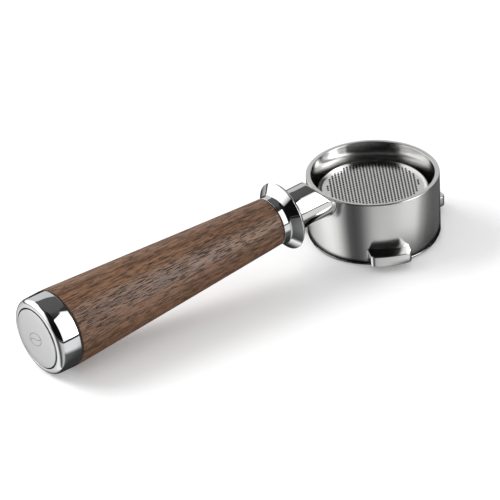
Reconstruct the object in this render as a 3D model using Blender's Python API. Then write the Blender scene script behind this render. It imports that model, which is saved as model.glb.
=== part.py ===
"""Bottomless portafilter: brazed three-lug head, lift-out basket and turned walnut handle.

Metres, +Z up. The origin is on the head's axis in the plane of the basket's sealing flange.
The head stands mouth down on that plane and the handle runs along -X, dropping to the same plane.
Profiles are written in millimetres and scaled by MM when they are built.
"""
import math

import bmesh
import bpy
import numpy as np
from mathutils import Matrix, Vector

MM = 0.001
GAP = 0.3                    # clearance between neighbouring pieces

# head
RING_R = 31.5                # outer radius of the head
RING_BORE_R = 29.2
RING_Z0 = 1.95               # edge that the basket's flange seats under
RING_Z1 = 32.55              # open-bottom rim
GROOVE_Z = 6.2               # height of the spring clip's groove
GROOVE_R = 29.85
LUG_TIP_R = 38.7
LUG_Z0 = 3.5
LUG_Z1 = 8.8
LUG_HALF_W = 9.85            # half width between the parallel ends
LUG_ANGLES_DEG = {"lug_front": 4.4, "lug_left": 124.4, "lug_right": 244.4}
LUG_CORNER = 2.0

# basket
BASKET_FLANGE_R = 30.6
BASKET_MOUTH_R = 28.0
BASKET_FLOOR_Z = 25.6
BASKET_WALL = 0.8
CLIP_WIRE_R = 0.5
CLIP_MAJOR_R = 28.95
CLIP_OPEN_DEG = 28.0

# handle axis: height where it crosses the head's axis, and its fall towards the handle's end
AXIS_Z = 33.62
AXIS_DROP = 0.0782           # radians
NECK_R = 9.88
NECK_SLOPE = 1.39            # rise of the slant that the neck's top is cut to, per millimetre along it
NECK_SLOPE_S = 31.8          # where the slant meets the rim's height
NECK_SLOPE_Y = 1.4
NECK_END_S = 52.3
SPIGOT_R = 6.5
SPIGOT_END_S = 57.5
STUD_BORE_R = 4.3
STUD_BORE_S = 40.5
COLLAR_S0 = 52.6
COLLAR_S1 = 61.35
WOOD_S0 = 61.65
WOOD_S1 = 182.1
WOOD_R0 = 11.73
WOOD_R1 = 18.86
CAP_S0 = 183.2
CAP_R = 18.86
CAP_FACE_S = 194.6
BOLT_R = 4.0
BOLT_HEAD_S = 164.7

SEG_HEAD = 64
SEG_HANDLE = 40
SEG_SMALL = 28


def clear_scene():
    """Remove every object of the start-up scene."""
    for item in list(bpy.data.objects):
        bpy.data.objects.remove(item, do_unlink=True)


def material(name, colour, metallic, roughness):
    """Return a Principled material of one constant colour."""
    mat = bpy.data.materials.new(name)
    mat.use_nodes = True
    shader = mat.node_tree.nodes["Principled BSDF"]
    shader.inputs["Base Color"].default_value = (*colour, 1.0)
    shader.inputs["Metallic"].default_value = metallic
    shader.inputs["Roughness"].default_value = roughness
    return mat


def finish(bm, name, mat, matrix=None, smooth=True):
    """Turn a bmesh into a named object with one material and outward normals."""
    bmesh.ops.remove_doubles(bm, verts=bm.verts, dist=1e-6)
    bmesh.ops.dissolve_degenerate(bm, edges=bm.edges, dist=1e-7)
    bmesh.ops.recalc_face_normals(bm, faces=bm.faces)
    if matrix is not None:
        bm.transform(matrix)
    mesh = bpy.data.meshes.new(name)
    bm.to_mesh(mesh)
    bm.free()
    for poly in mesh.polygons:
        poly.use_smooth = smooth
    mesh.materials.append(mat)
    obj = bpy.data.objects.new(name, mesh)
    bpy.context.scene.collection.objects.link(obj)
    return obj


def lathe(name, profile, mat, segments, matrix=None, closed=True):
    """Turn a profile of (radius, height) pairs in millimetres about Z into one body."""
    bm = bmesh.new()
    verts = [bm.verts.new((r * MM, 0.0, z * MM)) for r, z in profile]
    edges = [bm.edges.new((a, b)) for a, b in zip(verts, verts[1:])]
    if closed:
        edges.append(bm.edges.new((verts[-1], verts[0])))
    bmesh.ops.spin(
        bm,
        geom=verts + edges,
        cent=(0.0, 0.0, 0.0),
        axis=(0.0, 0.0, 1.0),
        angle=2.0 * math.pi,
        steps=segments,
        use_merge=False,
        use_duplicate=False,
    )
    return finish(bm, name, mat, matrix)


def plate(name, outline, z0, z1, mat, bevel=0.0):
    """Extrude a closed outline of (x, y) pairs in millimetres from z0 to z1."""
    bm = bmesh.new()
    verts = [bm.verts.new((x * MM, y * MM, z0 * MM)) for x, y in outline]
    face = bm.faces.new(verts)
    result = bmesh.ops.extrude_face_region(bm, geom=[face])
    top = [v for v in result["geom"] if isinstance(v, bmesh.types.BMVert)]
    bmesh.ops.translate(bm, verts=top, vec=(0.0, 0.0, (z1 - z0) * MM))
    if bevel:
        rims = [e for e in bm.edges if abs(e.verts[0].co.z - e.verts[1].co.z) < 1e-7]
        bmesh.ops.bevel(bm, geom=rims, offset=bevel * MM, segments=1, affect="EDGES")
    return finish(bm, name, mat, smooth=False)


def cut(obj, cutter):
    """Take a hidden cutter out of an object with an exact Boolean."""
    cutter.hide_render = True
    cutter.display_type = "WIRE"
    mod = obj.modifiers.new("cut", "BOOLEAN")
    mod.operation = "DIFFERENCE"
    mod.solver = "EXACT"
    mod.object = cutter


def handle_matrix():
    """Return the placement whose +Z runs out along the handle from the head's axis."""
    along = Vector((-math.cos(AXIS_DROP), 0.0, -math.sin(AXIS_DROP)))
    side = Vector((0.0, 1.0, 0.0))
    up = along.cross(side) * -1.0
    rot = Matrix((side, up, along)).transposed().to_4x4()
    if rot.determinant() < 0.0:
        rot = Matrix((side * -1.0, up, along)).transposed().to_4x4()
    return Matrix.Translation((0.0, 0.0, AXIS_Z * MM)) @ rot


def rounded(points, radii, steps=3):
    """Round the corners of an open profile; radii match its inner points."""
    out = [points[0]]
    for i in range(1, len(points) - 1):
        p = Vector(points[i])
        a = Vector(points[i - 1]) - p
        b = Vector(points[i + 1]) - p
        radius = radii[i - 1]
        if radius <= 0.0:
            out.append(tuple(p))
            continue
        half = a.angle(b) / 2.0
        reach = min(radius / math.tan(half), a.length * 0.48, b.length * 0.48)
        radius = reach * math.tan(half)
        centre = p + (a.normalized() + b.normalized()).normalized() * (radius / math.sin(half))
        start = p + a.normalized() * reach - centre
        end = p + b.normalized() * reach - centre
        turn = start.angle_signed(end)
        for k in range(steps + 1):
            ang = -turn * k / steps
            out.append((
                centre.x + start.x * math.cos(ang) - start.y * math.sin(ang),
                centre.y + start.x * math.sin(ang) + start.y * math.cos(ang),
            ))
    out.append(points[-1])
    return out


def lug_outline(angle_deg):
    """Return the plan outline of one bayonet lug, with parallel ends and round outer corners."""
    inner = RING_R + GAP
    corner = LUG_CORNER
    edge = math.asin(LUG_HALF_W / inner)
    cv = LUG_HALF_W - corner
    cu = math.sqrt((LUG_TIP_R - corner) ** 2 - cv ** 2)
    lean = math.atan2(cv, cu)
    pts = []
    for k in range(13):
        a = edge * (1.0 - 2.0 * k / 12)
        pts.append((inner * math.cos(a), inner * math.sin(a)))
    for sign in (-1.0, 1.0):
        first = -math.pi / 2.0 if sign < 0 else lean
        sweep = math.pi / 2.0 - lean
        for k in range(5):
            b = first + sweep * k / 4
            pts.append((cu + corner * math.cos(b), sign * cv + corner * math.sin(b)))
        if sign < 0:
            for k in range(1, 8):
                c = lean * (2.0 * k / 8 - 1.0)
                pts.append((LUG_TIP_R * math.cos(c), LUG_TIP_R * math.sin(c)))
    c, s = math.cos(math.radians(angle_deg)), math.sin(math.radians(angle_deg))
    return [(u * c - v * s, u * s + v * c) for u, v in pts]


def build_neck(mat, place):
    """Loft the neck bar, whose top is slanted down to the head's rim, and cut it to the wall."""
    bm = bmesh.new()
    count = 40
    stations = [24.0, 27.0, 29.5, 31.0, 31.6, 32.2, 33.0, 34.0, 35.0, 36.0, 37.0, 37.6, 38.2, 39.0, 46.0]
    rings = []
    for s in stations:
        slant = max(NECK_SLOPE_Y + (s - NECK_SLOPE_S) * NECK_SLOPE, 1.0)
        loop = []
        for k in range(count):
            a = 2.0 * math.pi * k / count
            high = math.sin(a)
            loop.append(bm.verts.new((
                NECK_R * math.cos(a) * MM,
                min(NECK_R * high, slant) * MM,
                s * MM,
            )))
        rings.append(loop)
    turned = [(NECK_R, 51.9), (NECK_R - 0.4, NECK_END_S), (SPIGOT_R, NECK_END_S)]
    turned += [(SPIGOT_R, 53.6), (5.2, 53.6), (5.2, 55.2), (SPIGOT_R, 55.2)]
    turned += [(SPIGOT_R, SPIGOT_END_S - 0.4), (SPIGOT_R - 0.4, SPIGOT_END_S)]
    turned += [(STUD_BORE_R, SPIGOT_END_S), (STUD_BORE_R, STUD_BORE_S)]
    for r, s in turned:
        loop = []
        for k in range(count):
            a = 2.0 * math.pi * k / count
            loop.append(bm.verts.new((r * math.cos(a) * MM, r * math.sin(a) * MM, s * MM)))
        rings.append(loop)
    for low, high in zip(rings, rings[1:]):
        for k in range(count):
            n = (k + 1) % count
            bm.faces.new((low[k], low[n], high[n], high[k]))
    bm.faces.new(list(reversed(rings[0])))
    bm.faces.new(rings[-1])
    neck = finish(bm, "neck_stub", mat, place)
    cutter = bmesh.new()
    bmesh.ops.create_cone(
        cutter,
        cap_ends=True,
        segments=SEG_HEAD * 2,
        radius1=(RING_R + GAP) * MM,
        radius2=(RING_R + GAP) * MM,
        depth=120.0 * MM,
        matrix=Matrix.Translation((0.0, 0.0, RING_Z1 * MM)),
    )
    cut(neck, finish(cutter, "neck_wall_cutter", mat))
    return neck


def build_clip(mat):
    """Bend the open spring wire that holds the basket in the head."""
    bm = bmesh.new()
    sides = 8
    steps = 44
    start = math.radians(CLIP_OPEN_DEG / 2.0)
    rings = []
    for i in range(steps + 1):
        a = start + (2.0 * math.pi - 2.0 * start) * i / steps
        loop = []
        for k in range(sides):
            b = 2.0 * math.pi * k / sides
            r = CLIP_MAJOR_R + CLIP_WIRE_R * math.cos(b)
            z = GROOVE_Z + CLIP_WIRE_R * math.sin(b)
            loop.append(bm.verts.new((r * math.cos(a) * MM, r * math.sin(a) * MM, z * MM)))
        rings.append(loop)
    for low, high in zip(rings, rings[1:]):
        for k in range(sides):
            n = (k + 1) % sides
            bm.faces.new((low[k], low[n], high[n], high[k]))
    bm.faces.new(list(reversed(rings[0])))
    bm.faces.new(rings[-1])
    return finish(bm, "basket_clip", mat)


def build_spring_washer(mat, place):
    """Make the split washer that sits under the bolt's head."""
    bm = bmesh.new()
    steps = 30
    start = math.radians(5.0)
    section = ((4.4, 162.6), (6.6, 162.6), (6.6, 164.3), (4.4, 164.3))
    rings = []
    for i in range(steps + 1):
        a = start + (2.0 * math.pi - 2.0 * start) * i / steps
        rings.append([
            bm.verts.new((r * math.cos(a) * MM, r * math.sin(a) * MM, s * MM)) for r, s in section
        ])
    for low, high in zip(rings, rings[1:]):
        for k in range(4):
            n = (k + 1) % 4
            bm.faces.new((low[k], low[n], high[n], high[k]))
    bm.faces.new(list(reversed(rings[0])))
    bm.faces.new(rings[-1])
    return finish(bm, "spring_washer", mat, place, smooth=False)


def ring_profile():
    """Return the head's section: turned tube with a clip groove near its mouth."""
    return [
        (RING_R, RING_Z0 + 0.4), (RING_R, RING_Z1 - 0.4), (RING_R - 0.4, RING_Z1),
        (RING_BORE_R + 0.4, RING_Z1), (RING_BORE_R, RING_Z1 - 0.4),
        (RING_BORE_R, GROOVE_Z + 1.0), (GROOVE_R, GROOVE_Z + 0.9),
        (GROOVE_R, GROOVE_Z - 0.9), (RING_BORE_R, GROOVE_Z - 1.0),
        (RING_BORE_R, RING_Z0 + 0.4), (RING_BORE_R + 0.4, RING_Z0), (RING_R - 0.4, RING_Z0),
    ]


def basket_profile():
    """Return the basket's section from the axis out, down the wall, round the flange and back."""
    outer = rounded(
        [(0.0, BASKET_FLOOR_Z), (25.9, BASKET_FLOOR_Z), (27.0, 21.0), (BASKET_MOUTH_R, 1.9),
         (28.3, 1.6), (BASKET_FLANGE_R, 1.6), (BASKET_FLANGE_R, 0.0), (26.9, 0.0)],
        [2.4, 0.0, 0.0, 0.0, 0.6, 0.6],
    )
    wall = BASKET_WALL
    inner = rounded(
        [(26.9, 0.0), (27.2, 1.8), (26.2, 20.8), (25.1, BASKET_FLOOR_Z - wall),
         (0.0, BASKET_FLOOR_Z - wall)],
        [0.8, 0.0, 1.7],
    )
    return outer + inner[1:]


def build_head(steel, spring):
    """Build the head ring, its three lugs and the basket's clip."""
    lathe("head_ring", ring_profile(), steel, SEG_HEAD)
    for name, angle in LUG_ANGLES_DEG.items():
        plate(name, lug_outline(angle), LUG_Z0, LUG_Z1, steel, bevel=0.35)
    build_clip(spring)


def build_basket(mat):
    """Build the filter basket with a plain floor; its holes are too fine for solids."""
    lathe("filter_basket", basket_profile(), mat, SEG_HEAD, closed=False)


def build_collar(chrome, rubber, place):
    """Build the flared collar with its sealing ring and the washer behind it."""
    collar = [
        (7.0, COLLAR_S0), (15.4, COLLAR_S0), (15.75, COLLAR_S0 + 0.15), (16.6, 53.9),
        (16.68, 54.1), (16.45, 54.45), (14.2, 55.9), (12.6, 57.15), (11.95, 58.0),
        (11.75, 59.2), (11.75, 61.2), (11.6, COLLAR_S1), (10.6, COLLAR_S1), (10.6, 60.5),
        (7.0, 60.5),
    ]
    lathe("collar", collar, chrome, SEG_HANDLE, place)
    seal = [
        (6.1 + 0.55 * math.cos(k * math.pi / 4.0), 54.4 + 0.55 * math.sin(k * math.pi / 4.0))
        for k in range(8)
    ]
    lathe("neck_oring", seal, rubber, SEG_SMALL, place)
    washer = [(7.2, 60.8), (10.3, 60.8), (10.3, 61.3), (7.2, 61.3)]
    lathe("collar_washer", washer, rubber, SEG_SMALL, place)


def build_grip(wood, brass, place):
    """Build the turned grip and the brass bush at each end of its bore."""
    grip = [
        (7.9, WOOD_S0), (WOOD_R0 - 0.5, WOOD_S0), (WOOD_R0, WOOD_S0 + 0.5),
        (WOOD_R1 - 0.02, WOOD_S1 - 0.5), (WOOD_R1 - 0.5, WOOD_S1), (9.6, WOOD_S1),
        (9.6, 155.7), (5.0, 155.7), (5.0, 80.3), (7.9, 80.3),
    ]
    lathe("grip", grip, wood, SEG_HANDLE, place)
    front = [(4.4, 62.0), (7.6, 62.0), (7.6, 80.0), (4.4, 80.0)]
    lathe("grip_insert_front", front, brass, SEG_SMALL, place)
    rear = [
        (4.4, 156.0), (9.3, 156.0), (9.3, 181.8), (7.4, 181.8), (7.4, 160.5), (4.4, 160.5),
    ]
    lathe("grip_insert_rear", rear, brass, SEG_SMALL, place)


def build_bolt(steel, place):
    """Build the through bolt with its socket, and the two washers under its head."""
    head = BOLT_HEAD_S
    bolt = [
        (0.0, 42.0), (BOLT_R - 0.8, 42.0), (BOLT_R, 42.8), (BOLT_R, head), (6.1, head),
        (6.5, head + 0.4), (6.5, head + 7.6), (6.1, head + 8.0), (0.0, head + 8.0),
    ]
    body = lathe("tie_bolt", bolt, steel, 24, place, closed=False)
    socket = bmesh.new()
    bmesh.ops.create_cone(
        socket,
        cap_ends=True,
        segments=6,
        radius1=3.46 * MM,
        radius2=3.46 * MM,
        depth=10.0 * MM,
        matrix=Matrix.Translation((0.0, 0.0, (head + 9.0) * MM)),
    )
    cut(body, finish(socket, "bolt_socket_cutter", steel, place))
    flat = [(4.4, 160.8), (7.0, 160.8), (7.0, 162.3), (4.4, 162.3)]
    lathe("plain_washer", flat, steel, SEG_SMALL, place)
    build_spring_washer(steel, place)


def build_cap(chrome, rubber, foam, satin, place):
    """Build the end cap, its gasket, and the domed medallion on its pad."""
    gasket = [(9.6, 182.4), (18.5, 182.4), (18.5, 182.9), (9.6, 182.9)]
    lathe("end_cap_gasket", gasket, rubber, SEG_HANDLE, place)
    shell = rounded(
        [(0.0, 192.6), (15.1, 192.6), (15.1, CAP_FACE_S), (18.55, CAP_FACE_S), (CAP_R, CAP_S0),
         (7.0, CAP_S0), (7.0, 174.6), (6.4, 174.0), (0.0, 174.0)],
        [0.0, 0.0, 3.6, 0.3, 0.0, 0.0, 0.0],
    )
    lathe("end_cap", shell, chrome, SEG_HANDLE, place, closed=False)
    pad = [(0.0, 192.9), (14.2, 192.9), (14.2, 193.3), (0.0, 193.3)]
    lathe("medallion_pad", pad, foam, SEG_SMALL, place, closed=False)
    face = [
        (0.0, 193.6), (14.8, 193.6), (14.8, 194.75), (14.45, 195.0), (11.0, 195.25),
        (7.0, 195.45), (3.5, 195.55), (0.0, 195.6),
    ]
    lathe("medallion", face, satin, SEG_HANDLE, place, closed=False)


def main():
    """Build every piece."""
    clear_scene()
    steel = material("head_steel", (0.62, 0.62, 0.61), 1.0, 0.22)
    spring = material("spring_steel", (0.5, 0.5, 0.5), 1.0, 0.3)
    sheet = material("basket_steel", (0.7, 0.7, 0.69), 1.0, 0.25)
    chrome = material("chrome", (0.8, 0.8, 0.8), 1.0, 0.08)
    rubber = material("seal_rubber", (0.03, 0.03, 0.03), 0.0, 0.6)
    walnut = material("walnut", (0.22, 0.12, 0.07), 0.0, 0.5)
    brass = material("insert_brass", (0.75, 0.57, 0.26), 1.0, 0.3)
    zinc = material("bolt_steel", (0.6, 0.61, 0.63), 1.0, 0.35)
    foam = material("pad_foam", (0.12, 0.12, 0.12), 0.0, 0.9)
    satin = material("medallion_steel", (0.72, 0.72, 0.72), 1.0, 0.35)
    place = handle_matrix()
    build_head(steel, spring)
    build_neck(steel, place)
    build_basket(sheet)
    build_collar(chrome, rubber, place)
    build_grip(walnut, brass, place)
    build_bolt(zinc, place)
    build_cap(chrome, rubber, foam, satin, place)
    bpy.context.view_layer.update()


main()
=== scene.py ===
"""Visual model of a bottomless portafilter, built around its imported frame.

Lengths in the object's classes are millimetres and are scaled by MM when a mesh is made. The studio's
lengths are metres. The head's axis is Z. The handle has its own placement, whose local Z runs out along
the grip.
"""
import logging
import math
from collections.abc import Callable, Iterable
from dataclasses import dataclass, field
from enum import Enum
from functools import cache

import bmesh
import bpy
from mathutils import Matrix, Vector


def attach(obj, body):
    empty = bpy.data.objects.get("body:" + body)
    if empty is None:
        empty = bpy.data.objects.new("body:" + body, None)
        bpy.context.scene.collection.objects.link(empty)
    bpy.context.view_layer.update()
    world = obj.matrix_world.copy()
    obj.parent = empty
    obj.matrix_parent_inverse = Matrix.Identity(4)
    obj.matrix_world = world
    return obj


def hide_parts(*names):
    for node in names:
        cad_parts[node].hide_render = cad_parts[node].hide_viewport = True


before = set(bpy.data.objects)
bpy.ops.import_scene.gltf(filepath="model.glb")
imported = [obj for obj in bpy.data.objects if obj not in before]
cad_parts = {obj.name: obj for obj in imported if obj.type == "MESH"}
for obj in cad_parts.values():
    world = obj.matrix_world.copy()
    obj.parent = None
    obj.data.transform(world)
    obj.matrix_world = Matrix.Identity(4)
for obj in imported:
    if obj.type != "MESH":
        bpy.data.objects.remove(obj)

LOG = logging.getLogger("portafilter")
MM = 0.001
TAU = 2.0 * math.pi
ORIGIN = (0.0, 0.0, 0.0)
UP = (0.0, 0.0, 1.0)
SHARP_DEG = 32.0  # an edge that turns by more stays hard
FLAT_END = 0.7  # past this lean to Z a face is an end, not a side
UV_PER_METRE = 20.0
SMALL_CORNER = 1.0  # a corner that reaches less than this gets few facets

Profile = list[tuple[float, float, float]]
Colour = tuple[float, float, float]
Edges = list[bmesh.types.BMEdge]
Socket = bpy.types.NodeSocket
Value = Socket | float | tuple | Vector


class Body(Enum):
    """The CAD bodies that pieces ride on."""

    HEAD = "head"
    CLIP = "clip"
    BASKET = "basket"


class Grain(Enum):
    """How the marks of a metal finish run."""

    TURNED = "turned"
    RANDOM = "random"


class Kind(Enum):
    """What a shader group's socket carries."""

    VALUE = "NodeSocketFloat"
    COLOUR = "NodeSocketColor"
    VECTOR = "NodeSocketVector"


# --------------------------------------------------------------------------- mesh work


@dataclass(frozen=True)
class HandleAxis:
    """Where the handle's own axis lies: its height on the head's axis and its fall in radians."""

    height: float = 33.62
    drop: float = 0.0782

    def matrix(self) -> Matrix:
        """Work out the handle's placement.

        Returns:
            The placement whose +Z runs along the handle, +Y up and +X to the front.
        """
        along = Vector((-math.cos(self.drop), 0.0, -math.sin(self.drop)))
        up = Vector((-math.sin(self.drop), 0.0, math.cos(self.drop)))
        side = Vector((0.0, -1.0, 0.0))
        turned = Matrix((side, up, along)).transposed().to_4x4()
        return Matrix.Translation((0.0, 0.0, self.height * MM)) @ turned


AXIS = HandleAxis()


def mark_sharp(bm: bmesh.types.BMesh) -> None:
    """Shade a mesh smooth except across its hard corners.

    Args:
        bm: The mesh.
    """
    limit = math.radians(SHARP_DEG)
    for face in bm.faces:
        face.smooth = True
    for edge in bm.edges:
        edge.smooth = len(edge.link_faces) == 2 and edge.calc_face_angle(0.0) < limit


def lay_turned_uv(bm: bmesh.types.BMesh) -> None:
    """Give a turned mesh a UV map whose U runs round its local Z axis.

    Args:
        bm: The mesh, still in its own axes.
    """
    layer = bm.loops.layers.uv.new("UVMap")
    for face in bm.faces:
        middle = face.calc_center_median()
        base = math.atan2(middle.y, middle.x)
        flat = abs(face.normal.z) > FLAT_END
        for loop in face.loops:
            co = loop.vert.co
            radius = math.hypot(co.x, co.y)
            swing = math.atan2(co.y, co.x) - base if radius > 1e-7 else 0.0
            swing = (swing + math.pi) % TAU - math.pi
            loop[layer].uv = ((base + swing) / TAU, (radius if flat else co.z) * UV_PER_METRE)


def link_mesh(bm: bmesh.types.BMesh, name: str, *materials: bpy.types.Material) -> bpy.types.Object:
    """Turn a bmesh into an object of the scene.

    Args:
        bm: The mesh; it is freed here.
        name: The object's name.
        materials: Its finishes, in the order of the faces' material indices.

    Returns:
        The new object.
    """
    mesh = bpy.data.meshes.new(name)
    bm.to_mesh(mesh)
    bm.free()
    for material in materials:
        mesh.materials.append(material)
    thing = bpy.data.objects.new(name, mesh)
    bpy.context.scene.collection.objects.link(thing)
    return thing


def make_piece(
    bm: bmesh.types.BMesh,
    name: str,
    material: bpy.types.Material,
    body: Body,
    slot: str,
    replaces: Iterable[str] = (),
    place: Matrix | None = None,
    second: bpy.types.Material | None = None,
) -> None:
    """Turn a bmesh into a finished piece that rides on a body.

    Args:
        bm: The mesh in its own axes; it is freed here.
        name: The piece's name.
        material: Its finish.
        body: The CAD body that it rides on.
        slot: The record's material slot; not used.
        replaces: CAD nodes that it stands for.
        place: Where its axes lie in the frame.
        second: A finish for the faces whose material index is 1.
    """
    bmesh.ops.remove_doubles(bm, verts=bm.verts, dist=1e-6)
    bmesh.ops.dissolve_degenerate(bm, edges=bm.edges, dist=1e-8)
    bmesh.ops.recalc_face_normals(bm, faces=bm.faces)
    mark_sharp(bm)
    lay_turned_uv(bm)
    if place is not None:
        bm.transform(place)
    piece = link_mesh(bm, name, *(m for m in (material, second) if m is not None))
    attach(piece, body.value)
    nodes = list(replaces)
    if nodes:
        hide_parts(*nodes)
    LOG.info("piece %s: %d faces on %s", name, len(piece.data.polygons), body.value)


def round_off(
    bm: bmesh.types.BMesh, geom: list, reach: float, segments: int, affect: str = "EDGES"
) -> None:
    """Bevel some edges or corners round.

    Args:
        bm: The mesh.
        geom: The edges or vertices.
        reach: How far the rounding reaches, in millimetres.
        segments: How many facets it has.
        affect: EDGES or VERTICES.
    """
    bmesh.ops.bevel(
        bm,
        geom=geom,
        offset=reach * MM,
        offset_type="OFFSET",
        segments=segments,
        profile=0.5,
        affect=affect,
        clamp_overlap=True,
        material=-1,
    )


def section(points: Profile, keep_closed: bool = True) -> bmesh.types.BMesh:
    """Draw a turned part's section in the XZ plane and round its corners.

    Args:
        points: (radius, height, corner) in millimetres; corner is how far the rounding reaches.
        keep_closed: Whether the side from the last point back to the first is kept.

    Returns:
        A bmesh that holds the outline's edges only.
    """
    bm = bmesh.new()
    verts = [bm.verts.new((r * MM, 0.0, z * MM)) for r, z, _ in points]
    bm.faces.new(verts)
    by_corner: dict[float, list[bmesh.types.BMVert]] = {}
    for vert, (_, _, corner) in zip(verts, points):
        if corner > 0.0:
            by_corner.setdefault(corner, []).append(vert)
    if not keep_closed:
        bm.edges.get((verts[-1], verts[0])).seam = True
    for corner, group in by_corner.items():
        round_off(bm, group, corner, 3 if corner < SMALL_CORNER else 8, "VERTICES")
    bmesh.ops.delete(bm, geom=list(bm.faces), context="FACES_ONLY")
    if not keep_closed:
        bmesh.ops.delete(bm, geom=[e for e in bm.edges if e.seam], context="EDGES")
    on_axis = [e for e in bm.edges if all(abs(v.co.x) < 1e-9 for v in e.verts)]
    if on_axis:
        bmesh.ops.delete(bm, geom=on_axis, context="EDGES")
    return bm


def turn(points: Profile, steps: int, keep_closed: bool = True) -> bmesh.types.BMesh:
    """Turn a section round Z.

    Args:
        points: The section, as section() takes it.
        steps: How many facets go round.
        keep_closed: Whether the section is a closed outline.

    Returns:
        The turned mesh.
    """
    bm = section(points, keep_closed)
    bmesh.ops.spin(
        bm,
        geom=list(bm.verts) + list(bm.edges),
        cent=ORIGIN,
        axis=UP,
        angle=TAU,
        steps=steps,
        use_merge=True,
        use_duplicate=False,
    )
    bmesh.ops.remove_doubles(bm, verts=bm.verts, dist=1e-7)
    return bm


def bridge(bm: bmesh.types.BMesh, loops: list[Edges]) -> None:
    """Join each edge loop to the next with a band of faces.

    Args:
        bm: The mesh that holds the loops.
        loops: The loops in order.
    """
    for low, high in zip(loops, loops[1:]):
        bmesh.ops.bridge_loops(bm, edges=low + high)


def ring_loop(bm: bmesh.types.BMesh, count: int, where: Callable[[float], Vector]) -> Edges:
    """Make a circle and move its points onto a closed curve.

    Args:
        bm: The mesh to add to.
        count: How many points it has.
        where: Gives the place, in metres, of the point at an angle.

    Returns:
        The loop's edges.
    """
    made = bmesh.ops.create_circle(bm, cap_ends=False, segments=count, radius=1.0)
    for vert in made["verts"]:
        vert.co = where(math.atan2(vert.co.y, vert.co.x))
    return list({edge for vert in made["verts"] for edge in vert.link_edges})


# --------------------------------------------------------------------------- finishes


class Nodes:
    """A short way to add and join nodes in one tree."""

    def __init__(self, tree: bpy.types.NodeTree) -> None:
        """Keep the tree that nodes go into."""
        self.tree = tree

    def feed(self, node: bpy.types.Node, inputs: dict[str | int, Value]) -> None:
        """Join outputs to a node's inputs, or set the inputs' own values.

        Args:
            node: The node.
            inputs: Output sockets or plain values, by the input's name or number.
        """
        for key, value in inputs.items():
            if isinstance(value, bpy.types.NodeSocket):
                self.tree.links.new(value, node.inputs[key])
            else:
                node.inputs[key].default_value = value

    def add(
        self, kind: str, inputs: dict[str | int, Value] | None = None, **fields: object
    ) -> bpy.types.Node:
        """Add a node.

        Args:
            kind: The node's class without the ShaderNode part.
            inputs: What its inputs get, as feed() takes it.
            fields: Values for its properties.

        Returns:
            The node.
        """
        prefix = "" if kind.startswith("NodeGroup") else "ShaderNode"
        node = self.tree.nodes.new(prefix + kind)
        for key, value in fields.items():
            setattr(node, key, value)
        self.feed(node, inputs or {})
        return node

    def group(self, tree: bpy.types.NodeTree, inputs: dict[str, Value]) -> dict[str, Socket]:
        """Add a shader group and return its outputs by name."""
        return dict(self.add("Group", inputs, node_tree=tree).outputs.items())

    def math(self, operation: str, first: Value, second: Value = 0.0, clamp: bool = False) -> Socket:
        """Add a Math node and return its output."""
        node = self.add("Math", {0: first, 1: second}, operation=operation, use_clamp=clamp)
        return node.outputs[0]

    def plus(self, base: Value, value: Value, share: Value, clamp: bool = False) -> Socket:
        """Add a share of one value to another and return the sum."""
        return self.math("ADD", base, self.math("MULTIPLY", value, share), clamp)

    def vector(self, operation: str, first: Value, second: Value) -> Socket:
        """Add a Vector Math node and return its vector output."""
        return self.add("VectorMath", {0: first, 1: second}, operation=operation).outputs[0]

    def noise(self, vector: Value, scale: Value, detail: float = 2.0, rough: float = 0.5) -> Socket:
        """Add a Noise texture and return its value output."""
        values = {"Vector": vector, "Scale": scale, "Detail": detail, "Roughness": rough}
        return self.add("TexNoise", values).outputs["Fac"]

    def remap(
        self, value: Value, low: float, high: float, to_low: float = 0.0, to_high: float = 1.0
    ) -> Socket:
        """Add a clamped, eased Map Range and return its output."""
        values = {0: value, 1: low, 2: high, 3: to_low, 4: to_high}
        return self.add("MapRange", values, interpolation_type="SMOOTHSTEP").outputs[0]

    def mix(self, mask: Value, first: Value, second: Value, blend: str = "MIX") -> Socket:
        """Mix two colours by a mask and return the colour output."""
        values = {0: mask, 6: first, 7: second}
        return self.add("Mix", values, data_type="RGBA", blend_type=blend).outputs[2]

    def relief(self, height: Value) -> Socket:
        """Add a Bump node for a height in millimetres and return its normal."""
        return self.add("Bump", {"Height": height, "Strength": 1.0, "Distance": MM}).outputs[0]


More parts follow.
